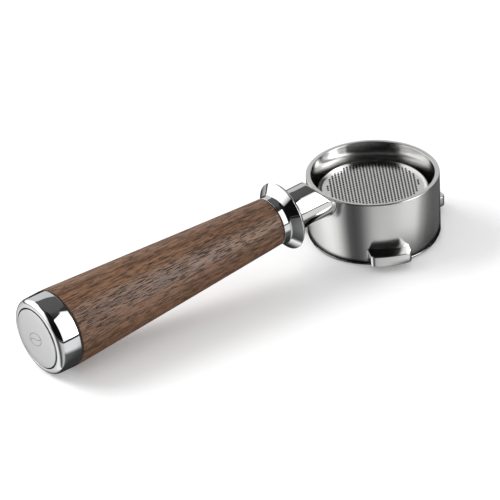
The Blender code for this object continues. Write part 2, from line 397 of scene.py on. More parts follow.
class Effects:
    """The shader groups that several finishes share, each built once."""

    @staticmethod
    def start(
        name: str, inputs: dict[str, tuple[Kind, Value | None]], outputs: dict[str, Kind]
    ) -> tuple[Nodes, dict[str, Socket], bpy.types.Node]:
        """Start a group with named sockets and an object vector.

        Args:
            name: The group's name.
            inputs: What each further input carries and its first value.
            outputs: What each output carries.

        Returns:
            The group's nodes, its inputs by name and the node that collects its outputs.
        """
        tree = bpy.data.node_groups.new(name, "ShaderNodeTree")
        for label, (kind, value) in {"Vector": (Kind.VECTOR, None), **inputs}.items():
            socket = tree.interface.new_socket(label, in_out="INPUT", socket_type=kind.value)
            if value is not None:
                socket.default_value = value
        for label, kind in outputs.items():
            tree.interface.new_socket(label, in_out="OUTPUT", socket_type=kind.value)
        nodes = Nodes(tree)
        given = nodes.add("NodeGroupInput").outputs
        return nodes, dict(given.items()), nodes.add("NodeGroupOutput")

    @staticmethod
    @cache
    def turned_marks() -> bpy.types.NodeTree:
        """Build the group for tool marks that run round a piece's local Z.

        Returns:
            The group.
        """
        n, given, end = Effects.start(
            "turned_marks",
            {"Density": (Kind.VALUE, 2600.0), "Streak": (Kind.VALUE, 3.0)},
            {"Lines": Kind.VALUE, "Patches": Kind.VALUE},
        )
        x, y, z = n.add("SeparateXYZ", {0: given["Vector"]}).outputs
        radius = n.math("SQRT", n.math("ADD", n.math("MULTIPLY", x, x), n.math("MULTIPLY", y, y)))
        along = n.math("MULTIPLY", n.math("ARCTAN2", y, x), given["Streak"])
        rib = n.math("MULTIPLY", n.math("ADD", radius, z), given["Density"])
        wrapped = n.add("CombineXYZ", {0: rib, 1: along, 2: n.math("MULTIPLY", radius, 300.0)})
        n.feed(end, {
            "Lines": n.noise(wrapped.outputs[0], 1.0, 3.0, 0.65),
            "Patches": n.noise(given["Vector"], 60.0, 3.0),
        })
        return n.tree

    @staticmethod
    @cache
    def handling() -> bpy.types.NodeTree:
        """Build the group for smears and hair scratches left by hands and cloths.

        Returns:
            The group.
        """
        n, given, end = Effects.start(
            "handling_marks",
            {"Size": (Kind.VALUE, 90.0)},
            {"Smears": Kind.VALUE, "Scratches": Kind.VALUE},
        )
        hairs = []
        for turn_y, stretch in ((0.5, 42.0), (1.9, 55.0)):
            values = {"Vector": given["Vector"], "Rotation": (0.4, turn_y, 0.9), "Scale": (1.0, stretch, 1.0)}
            spun = n.add("Mapping", values).outputs[0]
            hairs.append(n.remap(n.noise(spun, 60.0, 1.0), 0.715, 0.745))
        n.feed(end, {
            "Smears": n.remap(n.noise(given["Vector"], given["Size"], 4.0), 0.42, 0.72),
            "Scratches": n.math("MAXIMUM", *hairs),
        })
        return n.tree

    @staticmethod
    @cache
    def walnut_figure() -> bpy.types.NodeTree:
        """Build the group for walnut: growth bands, fibres and open pores along local Z.

        Returns:
            The group.
        """
        n, given, end = Effects.start(
            "walnut_figure",
            {
                "Pale": (Kind.COLOUR, (0.3, 0.18, 0.11, 1.0)),
                "Dark": (Kind.COLOUR, (0.1, 0.05, 0.03, 1.0)),
                "Pore": (Kind.COLOUR, (0.02, 0.01, 0.006, 1.0)),
            },
            {"Colour": Kind.COLOUR, "Pores": Kind.VALUE, "Fibre": Kind.VALUE},
        )
        slow = n.vector("MULTIPLY", given["Vector"], (15.0, 15.0, 6.0))
        bend = n.add("TexNoise", {"Vector": slow, "Scale": 1.0}).outputs["Color"]
        sway = n.vector("SUBTRACT", bend, (0.5, 0.5, 0.5))
        moved = n.vector("ADD", given["Vector"], n.vector("MULTIPLY", sway, (0.004, 0.004, 0.0)))

        def streaks(across: float, along: float, detail: float, rough: float) -> Socket:
            """Add noise drawn out along the grain and return its value."""
            return n.noise(n.vector("MULTIPLY", moved, (across, across, along)), 1.0, detail, rough)

        band = n.remap(streaks(200.0, 3.0, 3.0, 0.55), 0.36, 0.64)
        ring = n.remap(streaks(700.0, 5.0, 2.0, 0.6), 0.36, 0.64)
        fibre = streaks(1500.0, 11.0, 3.0, 0.7)
        tone = n.plus(n.math("MULTIPLY", band, 0.42), ring, 0.33)
        tone = n.plus(tone, n.math("SUBTRACT", fibre, 0.44), 3.2, clamp=True)
        dashes = []
        for across, along, reach in ((1700.0, 30.0, 0.32), (2500.0, 55.0, 0.35)):
            drawn = n.vector("MULTIPLY", moved, (across, across, along))
            cells = n.add("TexVoronoi", {"Vector": drawn, "Scale": 1.0})
            dashes.append(n.remap(cells.outputs["Distance"], reach * 0.7, reach, 1.0, 0.0))
        pores = n.math("MAXIMUM", *dashes)
        colour = n.mix(tone, given["Dark"], given["Pale"])
        colour = n.mix(n.math("MULTIPLY", pores, 0.92), colour, given["Pore"])
        n.feed(end, {"Colour": colour, "Pores": pores, "Fibre": fibre})
        return n.tree

    @staticmethod
    @cache
    def grit() -> bpy.types.NodeTree:
        """Build the group for the fine uneven skin of rubber, foam and cast surfaces.

        Returns:
            The group.
        """
        n, given, end = Effects.start(
            "fine_grit", {"Size": (Kind.VALUE, 3000.0)}, {"Grit": Kind.VALUE, "Clouds": Kind.VALUE}
        )
        n.feed(end, {
            "Grit": n.noise(given["Vector"], given["Size"], 2.0),
            "Clouds": n.noise(given["Vector"], 120.0, 3.0),
        })
        return n.tree


def start_material(name: str, along_handle: bool) -> tuple[bpy.types.Material, Nodes, bpy.types.Node, Socket]:
    """Begin a material whose patterns read a piece's own axes.

    Args:
        name: The material's name.
        along_handle: Whether the axes are the handle's instead of the head's.

    Returns:
        The material, its nodes, its Principled shader and the socket with the coordinates.
    """
    mat = bpy.data.materials.new(name)
    mat.use_nodes = True
    nodes = Nodes(mat.node_tree)
    coords = nodes.add("TexCoord").outputs["Object"]
    if along_handle:
        back = AXIS.matrix().inverted()
        values = {"Vector": coords, "Location": back.to_translation(), "Rotation": back.to_euler("XYZ")}
        coords = nodes.add("Mapping", values).outputs[0]
    return mat, nodes, mat.node_tree.nodes["Principled BSDF"], coords


@dataclass(frozen=True)
class Metal:
    """A metal finish with tool marks, smears and hair scratches."""

    name: str
    colour: Colour
    roughness: float
    grain: Grain = Grain.TURNED
    spread: float = 0.0
    line_depth: float = 0.0
    line_density: float = 2600.0
    streak: float = 3.0
    smear: float = 0.05
    scratch_depth: float = 0.0
    scratch: float = 0.0
    along_handle: bool = False

    def build(self) -> bpy.types.Material:
        """Build the finish.

        Returns:
            The material.
        """
        mat, n, shader, coords = start_material(self.name, self.along_handle)
        marks = n.group(
            Effects.turned_marks(), {"Vector": coords, "Density": self.line_density, "Streak": self.streak}
        )
        hands = n.group(Effects.handling(), {"Vector": coords})
        lines = marks["Lines"]
        if self.grain is Grain.RANDOM:
            lines = n.group(Effects.grit(), {"Vector": coords})["Grit"]
        shade = n.plus(0.98, marks["Patches"], 0.04)
        rough = n.plus(self.roughness, hands["Smears"], self.smear)
        rough = n.plus(rough, n.math("SUBTRACT", lines, 0.5), self.roughness * 0.5)
        height = n.math("MULTIPLY", lines, self.line_depth)
        n.feed(shader, {
            "Base Color": n.mix(1.0, (*self.colour, 1.0), shade, "MULTIPLY"),
            "Metallic": 1.0,
            "Roughness": n.plus(rough, hands["Scratches"], self.scratch, clamp=True),
            "Normal": n.relief(n.plus(height, hands["Scratches"], -self.scratch_depth)),
        })
        if self.spread > 0.0:
            tangent = n.add("Tangent", direction_type="UV_MAP", uv_map="UVMap").outputs[0]
            n.feed(shader, {"Anisotropic": self.spread, "Anisotropic Rotation": 0.25, "Tangent": tangent})
        return mat


@dataclass(frozen=True)
class Walnut:
    """Oiled walnut with open pores."""

    name: str = "oiled_walnut"
    pale: Colour = (0.255, 0.133, 0.073)
    dark: Colour = (0.07, 0.031, 0.015)
    pore: Colour = (0.007, 0.003, 0.002)
    roughness: float = 0.3
    oil: float = 0.55
    fibre_height: float = 0.012
    pore_depth: float = 0.05

    def build(self) -> bpy.types.Material:
        """Build the finish.

        Returns:
            The material.
        """
        mat, n, shader, coords = start_material(self.name, True)
        tones = {"Pale": (*self.pale, 1.0), "Dark": (*self.dark, 1.0), "Pore": (*self.pore, 1.0)}
        figure = n.group(Effects.walnut_figure(), {"Vector": coords, **tones})
        rough = n.plus(self.roughness, figure["Pores"], 0.3)
        height = n.math("MULTIPLY", figure["Fibre"], self.fibre_height)
        n.feed(shader, {
            "Base Color": figure["Colour"],
            "Roughness": n.plus(rough, figure["Fibre"], 0.1, clamp=True),
            "Specular IOR Level": self.oil,
            "Normal": n.relief(n.plus(height, figure["Pores"], -self.pore_depth)),
        })
        return mat


@dataclass(frozen=True)
class Soft:
    """A matt finish such as rubber or foam."""

    name: str
    colour: Colour
    roughness: float
    grit_size: float = 3000.0
    depth: float = 0.02

    def build(self) -> bpy.types.Material:
        """Build the finish.

        Returns:
            The material.
        """
        mat, n, shader, coords = start_material(self.name, False)
        skin = n.group(Effects.grit(), {"Vector": coords, "Size": self.grit_size})
        lighter = tuple(min(c * 1.6, 1.0) for c in self.colour)
        n.feed(shader, {
            "Base Color": n.mix(skin["Clouds"], (*self.colour, 1.0), (*lighter, 1.0)),
            "Roughness": n.plus(self.roughness, skin["Grit"], 0.15, clamp=True),
            "Normal": n.relief(n.math("MULTIPLY", skin["Grit"], self.depth)),
        })
        return mat


class Finishes:
    """Every finish of the portafilter, made once."""

    def __init__(self) -> None:
        """Build the materials."""
        steel, bright = (0.76, 0.757, 0.75), (0.78, 0.775, 0.765)
        black, grey, etched = (0.012, 0.012, 0.012), (0.5, 0.5, 0.5), (0.3, 0.3, 0.31)
        random = Grain.RANDOM
        self.head = Metal("head_steel", steel, 0.16, spread=0.55, line_depth=0.0004, smear=0.015).build()
        self.lug = Metal(
            "lug_steel", steel, 0.045, random, line_depth=0.0001, smear=0.03, scratch=0.03
        ).build()
        self.basket = Metal("basket_steel", bright, 0.16, smear=0.03, line_depth=0.0005).build()
        # painted shade: near-black steel for the holes' walls and for the faces in the gap under the ring
        self.punched = Metal("hole_and_gap_shade", black, 0.5, random, line_depth=0.002).build()
        self.wire = Metal("spring_wire", grey, 0.25, random, line_depth=0.001).build()
        self.chrome = Metal(
            "trim_chrome", (0.8, 0.805, 0.815), 0.035, smear=0.035, line_depth=0.0002,
            scratch_depth=0.0004, scratch=0.04, along_handle=True,
        ).build()
        self.medallion = Metal(
            "medallion_satin", (0.74, 0.74, 0.745), 0.36, random, line_depth=0.0012, along_handle=True
        ).build()
        self.etch = Metal("etched_line", etched, 0.5, random, along_handle=True).build()
        self.brass = Metal(
            "insert_brass", (0.78, 0.58, 0.27), 0.28, spread=0.5, line_depth=0.003, along_handle=True
        ).build()
        self.bolt = Metal(
            "bolt_zinc", (0.62, 0.63, 0.66), 0.34, random, line_depth=0.002, along_handle=True
        ).build()
        self.wood = Walnut().build()
        self.rubber = Soft("seal_rubber", (0.018, 0.018, 0.019), 0.5).build()
        # painted shade: near-black on the floor and wall of the recess round the medallion
        self.recess_shade = Soft("recess_painted_shade", (0.006, 0.006, 0.006), 0.6).build()
        self.foam = Soft("pad_foam", (0.09, 0.09, 0.09), 0.8, 1500.0, 0.08).build()


# --------------------------------------------------------------------------- the object


@dataclass
class Part:
    """A sub-assembly that dresses its pieces from one set of finishes."""

    finishes: Finishes


@dataclass
class Lug(Part):
    """One bayonet lug brazed on the head's outside."""

    name: str
    degrees: float
    half_width: float = 9.85
    inner: float = 31.2
    wall: float = 31.5
    tip: float = 38.62
    low: float = 3.5
    high: float = 8.8
    end_strip: float = 2.7
    cuts: int = 15
    corner: float = 2.0
    rim_corner: float = 0.45
    squareness: float = 0.16

    def build(self) -> None:
        """Build the lug and its bead of braze."""
        bm = bmesh.new()
        bmesh.ops.create_cube(bm, size=2.0)
        across = [e for e in bm.edges if abs(e.verts[0].co.y - e.verts[1].co.y) > 1.0]
        bmesh.ops.subdivide_edges(bm, edges=across, cuts=self.cuts, use_grid_fill=True)
        strip = 2.0 / (self.cuts + 1)
        inner_share = (self.half_width - self.end_strip) / (1.0 - strip)
        for vert in bm.verts:
            side = vert.co.y
            width = math.copysign(self.half_width, side) if abs(side) > 0.999 else side * inner_share
            radius = self.tip if vert.co.x > 0.0 else self.inner
            height = self.high if vert.co.z > 0.0 else self.low
            vert.co = Vector((math.sqrt(radius ** 2 - width ** 2), width, height)) * MM
        upright = [
            e for e in bm.edges
            if abs(e.verts[0].co.z - e.verts[1].co.z) > MM
            and abs(e.verts[0].co.y) > (self.half_width - 0.1) * MM
            and e.verts[0].co.x > self.wall * MM
        ]
        round_off(bm, upright, self.corner, 8)
        rims = [
            e for e in bm.edges
            if e.calc_face_angle(0.0) > math.radians(50.0)
            and max(v.co.xy.length for v in e.verts) > (self.wall + 0.05) * MM
        ]
        round_off(bm, rims, self.rim_corner, 4)
        swing = Matrix.Rotation(math.radians(self.degrees), 3, "Z")
        bmesh.ops.rotate(bm, verts=bm.verts, cent=ORIGIN, matrix=swing)
        make_piece(bm, f"{self.name}_body", self.finishes.lug, Body.HEAD, "head_steel", [self.name])
        self.braze()

    def braze(self) -> None:
        """Run a hollow bead of braze round the lug where it meets the wall."""
        bm = bmesh.new()
        mid = math.radians(self.degrees)
        half = math.asin(self.half_width / self.wall)
        centre_z = (self.low + self.high) / 2.0
        half_z = (self.high - self.low) / 2.0

        def where(angle: float, radius: float, grow: float) -> Vector:
            """Find a point on a rounded rectangle wrapped on the wall.

            Args:
                angle: Where it is round the rectangle.
                radius: How far it is from the head's axis.
                grow: How far it is outside the lug.

            Returns:
                The point, in metres.
            """
            c, s = math.cos(angle), math.sin(angle)
            u = math.copysign(abs(c) ** self.squareness, c) * (half + grow / self.wall)
            z = centre_z + math.copysign(abs(s) ** self.squareness, s) * (half_z + grow)
            return Vector((radius * math.cos(mid + u), radius * math.sin(mid + u), z)) * MM

        shape = (
            (31.4, -0.3), (31.4, 0.42), (31.52, 0.4), (31.57, 0.22), (31.66, 0.1), (31.9, 0.03),
            (31.92, -0.3),
        )
        loops = [
            ring_loop(bm, 96, lambda a, r=radius, g=grow: where(a, r, g)) for radius, grow in shape
        ]
        bridge(bm, loops + [loops[0]])
        make_piece(bm, f"{self.name}_braze", self.finishes.lug, Body.HEAD, "head_steel")


@dataclass
class Neck(Part):
    """The round bar between the head and the collar, slanted down to the head's rim."""

    radius: float = 9.88
    wall: float = 31.5
    slope: float = 1.39
    slope_start: float = 31.8
    slope_height: float = 1.4
    blend: float = 1.3
    fillet: float = 0.6
    count: int = 96

    def trim(self, height: float, s: float) -> float:
        """Cut a height softly to the slant.

        Args:
            height: The height above the bar's axis.
            s: The distance along the bar.

        Returns:
            The height that is left.
        """
        slant = max(self.slope_height + (s - self.slope_start) * self.slope, 1.0)
        near = max(self.blend - abs(height - slant), 0.0) / self.blend
        return min(height, slant) - near * near * self.blend / 4.0

    def point(self, angle: float, gap: float) -> Vector:
        """Find the bar's surface point that stands a gap off the head's wall.

        Args:
            angle: Where it is round the bar.
            gap: Its distance from the wall, in millimetres.

        Returns:
            The point in the handle's axes, in metres.
        """
        flare = 0.0
        if gap < self.fillet:
            depth = self.fillet - max(gap, 0.0)
            flare = self.fillet - math.sqrt(max(self.fillet ** 2 - depth ** 2, 0.0))
        x = (self.radius + flare) * math.cos(angle)
        reach = math.sqrt((self.wall + gap) ** 2 - x * x)
        s, y = reach, 0.0
        for _ in range(8):
            y = (self.radius + flare) * math.sin(angle)
            y = self.trim(y, s) if y > 0.0 else y
            s = (reach - math.sin(AXIS.drop) * y) / math.cos(AXIS.drop)
        return Vector((x, y, s)) * MM

    def build(self) -> None:
        """Build the bar."""
        bm = bmesh.new()
        gaps = [-0.6, 0.0, 0.08, 0.2, 0.4] + [0.6 + 0.3 * step for step in range(27)]
        loops = [ring_loop(bm, self.count, lambda a, g=gap: self.point(a, g)) for gap in gaps]
        shoulder = ((self.radius, 40.8), (self.radius, 46.0), (self.radius, 51.8), (9.8, 52.1), (9.55, 52.3))
        spigot = ((6.6, 52.3), (6.5, 52.4), (6.5, 53.5), (5.2, 53.6), (5.2, 55.2), (6.5, 55.3), (6.5, 57.2))
        bore = ((6.2, 57.5), (4.3, 57.5), (4.3, 40.5))
        for radius, s in shoulder + spigot + bore:
            loops.append(ring_loop(
                bm,
                self.count,
                lambda a, r=radius, h=s: Vector((r * math.cos(a), r * math.sin(a), h)) * MM,
            ))
        bridge(bm, loops)
        bmesh.ops.holes_fill(bm, edges=loops[0] + loops[-1], sides=0)
        make_piece(bm, "neck_bar", self.finishes.lug, Body.HEAD, "head_steel", ["neck_stub"], AXIS.matrix())


@dataclass
class Head(Part):
    """The open ring with its lugs and neck."""

    outer: float = 31.5
    bore: float = 29.2
    mouth: float = 1.95
    rim: float = 32.55
    groove: float = 6.2
    groove_depth: float = 0.65
    steps: int = 256
    lug_turns: dict[str, float] = field(
        default_factory=lambda: {"lug_front": 4.4, "lug_left": 124.4, "lug_right": 244.4}
    )

    def profile(self) -> Profile:
        """Return the ring's section."""
        bottom = self.bore + self.groove_depth
        return [
            (self.outer, self.mouth, 0.2), (self.outer, self.rim, 0.35), (self.bore, self.rim, 0.35),
            (self.bore, self.groove + 1.0, 0.08), (bottom, self.groove + 0.9, 0.08),
            (bottom, self.groove - 0.9, 0.08), (self.bore, self.groove - 1.0, 0.08),
            (self.bore, self.mouth, 0.35),
        ]

    def build(self) -> None:
        """Build the ring and what is brazed to it."""
        wall = turn(self.profile(), self.steps)
        make_piece(wall, "head_wall", self.finishes.head, Body.HEAD, "head_steel", ["head_ring"])
        for name, degrees in self.lug_turns.items():
            Lug(self.finishes, name, degrees).build()
        Neck(self.finishes).build()


@dataclass
class Basket(Part):
    """The filter basket with its punched floor."""

    floor: float = 25.6
    gauge: float = 0.8
    edge: float = 22.7
    pitch: float = 1.763
    hole_wide: float = 0.53
    hole_long: float = 0.76
    row_deg: float = 60.0
    sides: int = 12
    zone: float = 21.5
    lattice_deg: float = -2.8
    gap_radius: float = 28.0
    gap_low: float = 0.8
    gap_high: float = 2.2
    steps: int = 192

    def profile(self) -> Profile:
        """Return the section from the floor's edge down to the flange and back up inside."""
        low = self.floor - self.gauge
        return [
            (self.edge, self.floor, 0.0), (25.75, self.floor, 2.3), (27.0, 21.0, 0.0), (28.0, 1.5, 0.3),
            (28.3, 0.95, 0.2), (30.6, 0.95, 0.25), (30.6, 0.0, 0.45), (26.95, 0.0, 0.7), (27.2, 1.8, 0.0),
            (26.2, 20.8, 0.0), (25.0, low, 1.6), (self.edge, low, 0.0),
        ]

    def cell(self, bm: bmesh.types.BMesh) -> list[bmesh.types.BMFace]:
        """Make one six-sided cell of the floor with its hole.

        Args:
            bm: The mesh to add to.

        Returns:
            The cell's faces.
        """
        made = bmesh.ops.create_circle(
            bm, cap_ends=True, segments=self.sides, radius=self.pitch * 0.5 * MM
        )
        face = made["verts"][0].link_faces[0]
        for vert in face.verts:
            step = round(math.atan2(vert.co.y, vert.co.x) / (TAU / self.sides))
            if step % 2:
                vert.co *= 2.0 / math.sqrt(3.0)
        band = bmesh.ops.inset_region(
            bm,
            faces=[face],
            thickness=self.pitch * 0.2 * MM,
            use_boundary=True,
            use_even_offset=True,
        )["faces"]
        lean = math.radians(self.row_deg)
        row = Vector((math.cos(lean), math.sin(lean), 0.0))
        across = Vector((-row.y, row.x, 0.0))
        for vert in face.verts:
            way = vert.co.normalized()
            long_part = row * (way.dot(row) * self.hole_long)
            wide_part = across * (way.dot(across) * self.hole_wide)
            vert.co = (long_part + wide_part) * MM
        for edge in face.edges:
            edge.seam = True
        bmesh.ops.delete(bm, geom=[face], context="FACES_ONLY")
        return band

    def punch(self, bm: bmesh.types.BMesh) -> None:
        """Fill the floor of the turned basket with punched sheet, both faces and the holes' walls.

        Args:
            bm: The turned basket, open at its floor.
        """
        level = (self.floor - 0.1) * MM
        rim = [e for e in bm.edges if e.is_boundary and e.verts[0].co.z > level]
        cell = self.cell(bm)
        cell_verts = list({v for f in cell for v in f.verts})
        pattern = cell_verts + list({e for f in cell for e in f.edges}) + cell
        turn_z = Matrix.Rotation(math.radians(self.lattice_deg), 3, "Z")
        reach = int(self.zone / self.pitch) + 2
        sheet: list[bmesh.types.BMFace] = []
        for row in range(-reach, reach + 1):
            for column in range(-reach - abs(row) // 2 - 1, reach + abs(row) // 2 + 2):
                spot = Vector((column + row * 0.5, row * math.sqrt(0.75), 0.0)) * self.pitch
                if spot.length > self.zone:
                    continue
                copy = bmesh.ops.duplicate(bm, geom=pattern)["geom"]
                verts = [g for g in copy if isinstance(g, bmesh.types.BMVert)]
                bmesh.ops.translate(bm, verts=verts, vec=spot * MM)
                bmesh.ops.rotate(bm, verts=verts, cent=ORIGIN, matrix=turn_z)
                bmesh.ops.translate(bm, verts=verts, vec=(0.0, 0.0, self.floor * MM))
                sheet += [g for g in copy if isinstance(g, bmesh.types.BMFace)]
        bmesh.ops.delete(bm, geom=cell_verts, context="VERTS")
        bmesh.ops.remove_doubles(bm, verts=list({v for f in sheet for v in f.verts}), dist=2e-5)
        holes = [e for e in bm.edges if e.seam]
        outline = [
            e for e in bm.edges
            if e.is_boundary and not e.seam and e not in rim and e.verts[0].co.z > level
        ]
        sheet = list({f for e in holes for f in e.link_faces})
        filled = bmesh.ops.triangle_fill(bm, edges=rim + outline, use_beauty=True)["geom"]
        sheet += [g for g in filled if isinstance(g, bmesh.types.BMFace)]
        shift = (0.0, 0.0, -self.gauge * MM)
        walls = bmesh.ops.extrude_edge_only(bm, edges=holes)["geom"]
        # painted shade: the holes' walls take the near-black second finish
        for item in walls:
            if isinstance(item, bmesh.types.BMFace):
                item.material_index = 1
        lowered = [g for g in walls if isinstance(g, bmesh.types.BMVert)]
        bmesh.ops.translate(bm, verts=lowered, vec=shift)
        under = bmesh.ops.duplicate(bm, geom=sheet)["geom"]
        lowered = [g for g in under if isinstance(g, bmesh.types.BMVert)]
        bmesh.ops.translate(bm, verts=lowered, vec=shift)

    def build(self) -> None:
        """Build the basket, with painted shade on the faces in the gap to the ring."""
        bm = turn(self.profile(), self.steps, keep_closed=False)
        bm.normal_update()
        for face in bm.faces:
            middle = face.calc_center_median()
            in_gap = self.gap_low * MM < middle.z < self.gap_high * MM
            # painted shade: flat faces in the gap under the ring's mouth take the near-black second finish
            if in_gap and middle.xy.length > self.gap_radius * MM and abs(face.normal.z) > 0.9:
                face.material_index = 1
        self.punch(bm)
        make_piece(
            bm, "basket_shell", self.finishes.basket, Body.BASKET, "basket_steel", ["filter_basket"],
            second=self.finishes.punched,
        )


@dataclass
class Clip(Part):
    """The open wire clip that holds the basket."""

    wire: float = 0.5
    ring: float = 28.95
    height: float = 6.2
    open_deg: float = 28.0
    steps: int = 150

    def build(self) -> None:
        """Bend the wire."""
        bm = bmesh.new()
        opening = math.radians(self.open_deg)
        upright = Matrix.Rotation(math.pi / 2.0, 4, "X")
        away = Matrix.Translation((self.ring * MM, 0.0, self.height * MM))
        place = Matrix.Rotation(opening / 2.0, 4, "Z") @ away @ upright
        made = bmesh.ops.create_circle(bm, cap_ends=True, segments=14, radius=self.wire * MM, matrix=place)
        face = made["verts"][0].link_faces[0]
        bmesh.ops.spin(
            bm,
            geom=[face],
            cent=ORIGIN,
            axis=UP,
            angle=TAU - opening,
            steps=self.steps,
            use_merge=False,
            use_duplicate=False,
        )
        make_piece(bm, "clip_wire", self.finishes.wire, Body.CLIP, "spring_steel", ["basket_clip"])


@dataclass
class Handle(Part):
    """The collar, the grip and the end cap, all turned on the handle's axis."""

    wood_front: float = 61.65
    wood_back: float = 182.1
    front_radius: float = 11.73
    back_radius: float = 18.86
    cap_start: float = 183.2
    cap_face: float = 194.6
    recess_floor: float = 192.6
    recess_radius: float = 15.15
    dome_top: float = 195.5
    dome_fall: float = 0.00327
    bean_long: float = 4.8
    bean_wide: float = 3.2
    bean_lean: float = 25.0
    line_wide: float = 0.15
    line_high: float = 0.06
    steps: int = 192

    def collar(self) -> Profile:
        """Return the flared collar's section."""
        return [
            (7.0, 52.6, 0.2), (15.55, 52.6, 0.25), (16.68, 54.15, 0.3), (11.75, 57.9, 0.9),
            (11.75, 61.35, 0.15), (10.6, 61.35, 0.15), (10.6, 60.5, 0.1), (7.0, 60.5, 0.2),
        ]

    def grip(self) -> Profile:
        """Return the grip's section with its stepped bore."""
        return [
            (7.9, self.wood_front, 0.2), (self.front_radius, self.wood_front, 0.5),
            (self.back_radius, self.wood_back, 0.45), (9.6, self.wood_back, 0.2), (9.6, 155.7, 0.0),
            (5.0, 155.7, 0.0), (5.0, 80.3, 0.0), (7.9, 80.3, 0.0),
        ]

    def cap(self) -> Profile:
        """Return the end cap's section with its recess and spigot."""
        return [
            (0.0, self.recess_floor, 0.0), (self.recess_radius, self.recess_floor, 0.0),
            (self.recess_radius, self.cap_face, 0.2), (18.55, self.cap_face, 3.4),
            (self.back_radius, self.cap_start, 0.25), (7.0, self.cap_start, 0.0), (7.0, 174.4, 0.4),
            (0.0, 174.0, 0.0),
        ]

    def medallion(self) -> Profile:
        """Return the domed medallion's section."""
        return [
            (0.0, 193.6, 0.0), (14.5, 193.6, 0.0), (14.5, 194.9, 0.3), (11.0, 195.13, 0.0),
            (7.0, 195.34, 0.0), (3.5, 195.46, 0.0), (0.0, self.dome_top, 0.0),
        ]

    def bean_point(self, share: float, outline: bool) -> Vector:
        """Find a point of the bean's lines on the medallion's dome.

        Args:
            share: How far along the line it is, from 0 to 1.
            outline: Whether it lies on the outline instead of the crease.

        Returns:
            The point in the handle's axes, in millimetres.
        """
        swing = TAU * share
        if outline:
            u, v = self.bean_long * math.cos(swing), self.bean_wide * math.sin(swing)
        else:
            u, v = self.bean_long * (2.0 * share - 1.0) * 0.97, 0.6 * math.sin(swing)
        lean = math.radians(self.bean_lean)
        x = u * math.cos(lean) - v * math.sin(lean)
        y = u * math.sin(lean) + v * math.cos(lean)
        return Vector((x, y, self.dome_top - self.dome_fall * (x * x + y * y)))

    def bean(self) -> None:
        """Draw the outline of a coffee bean and its crease on the medallion."""
        bm = bmesh.new()
        for outline, stations in ((True, 72), (False, 36)):
            loops = []
            for k in range(stations + (0 if outline else 1)):
                here = self.bean_point(k / stations, outline)
                ahead = self.bean_point((k + 0.01) / stations, outline)
                side = (ahead - here).cross(Vector(UP)).normalized() * self.line_wide
                rise = Vector(UP) * self.line_high
                loops.append(ring_loop(
                    bm,
                    8,
                    lambda a, c=here, w=side, h=rise: (c + w * math.cos(a) + h * math.sin(a)) * MM,
                ))
            bridge(bm, loops + [loops[0]] if outline else loops)
            if not outline:
                bmesh.ops.holes_fill(bm, edges=loops[0] + loops[-1], sides=0)
        make_piece(bm, "medallion_bean", self.finishes.etch, Body.HEAD, "medallion_steel", (), AXIS.matrix())

    def build(self) -> None:
        """Build the handle's visible pieces."""
        cap = turn(self.cap(), self.steps)
        # painted shade: the recess's deep faces take the near-black second finish
        for face in cap.faces:
            middle = face.calc_center_median() / MM
            deep = self.recess_floor - 0.05 < middle.z < self.cap_face - 0.25
            if deep and middle.xy.length < self.recess_radius:
                face.material_index = 1
        washer: Profile = [(7.2, 60.8, 0.1), (10.3, 60.8, 0.15), (10.3, 61.3, 0.15), (7.2, 61.3, 0.1)]
        gasket: Profile = [(9.6, 182.4, 0.1), (18.5, 182.4, 0.15), (18.5, 182.9, 0.15), (9.6, 182.9, 0.1)]
        collar, grip, medallion, washer, gasket = (
            turn(points, self.steps)
            for points in (self.collar(), self.grip(), self.medallion(), washer, gasket)
        )
        pieces = (
            (collar, "collar_flare", self.finishes.chrome, "trim_chrome", "collar"),
            (grip, "walnut_grip", self.finishes.wood, "grip_wood", "grip"),
            (cap, "cap_shell", self.finishes.chrome, "trim_chrome", "end_cap"),
            (medallion, "medallion_face", self.finishes.medallion, "medallion_steel", "medallion"),
            (washer, "collar_seal", self.finishes.rubber, "seal_rubber", "collar_washer"),
            (gasket, "cap_seal", self.finishes.rubber, "seal_rubber", "end_cap_gasket"),
        )
        for bm, name, material, slot, node in pieces:
            second = self.finishes.recess_shade if bm is cap else None
            make_piece(bm, name, material, Body.HEAD, slot, [node], AXIS.matrix(), second)
            if bm is medallion:
                self.bean()

    def dress_hidden(self) -> None:
        """Give the pieces inside the handle their self.finishes."""
        dressed = {
            "neck_oring": self.finishes.rubber,
            "grip_insert_front": self.finishes.brass,
            "grip_insert_rear": self.finishes.brass,
            "tie_bolt": self.finishes.bolt,
            "plain_washer": self.finishes.bolt,
            "spring_washer": self.finishes.bolt,
            "medallion_pad": self.finishes.foam,
        }
        for name, material in dressed.items():
            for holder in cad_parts[name].material_slots:
                holder.material = material


# --------------------------------------------------------------------------- studio


@dataclass(frozen=True)
class Softbox:
    """One soft light, aimed at the object, that reflections don't show."""

    name: str
    azimuth: float
    elevation: float
    distance: float
    width: float
    height: float
    power: float

    def build(self, aim: Vector) -> None:
        """Hang the light.

        Args:
            aim: The point that it faces.
        """
        az, el = math.radians(self.azimuth), math.radians(self.elevation)
        away = Vector((math.cos(az) * math.cos(el), math.sin(az) * math.cos(el), math.sin(el)))
        data = bpy.data.lights.new(self.name, "AREA")
        data.shape = "RECTANGLE"
        data.size = self.width
        data.size_y = self.height
        data.energy = self.power
        lamp = bpy.data.objects.new(self.name, data)
        lamp.location = aim + away * self.distance
        lamp.rotation_euler = away.to_track_quat("Z", "Y").to_euler()
        lamp.visible_glossy = False
        bpy.context.scene.collection.objects.link(lamp)


Stops = tuple[tuple[float, float], ...]


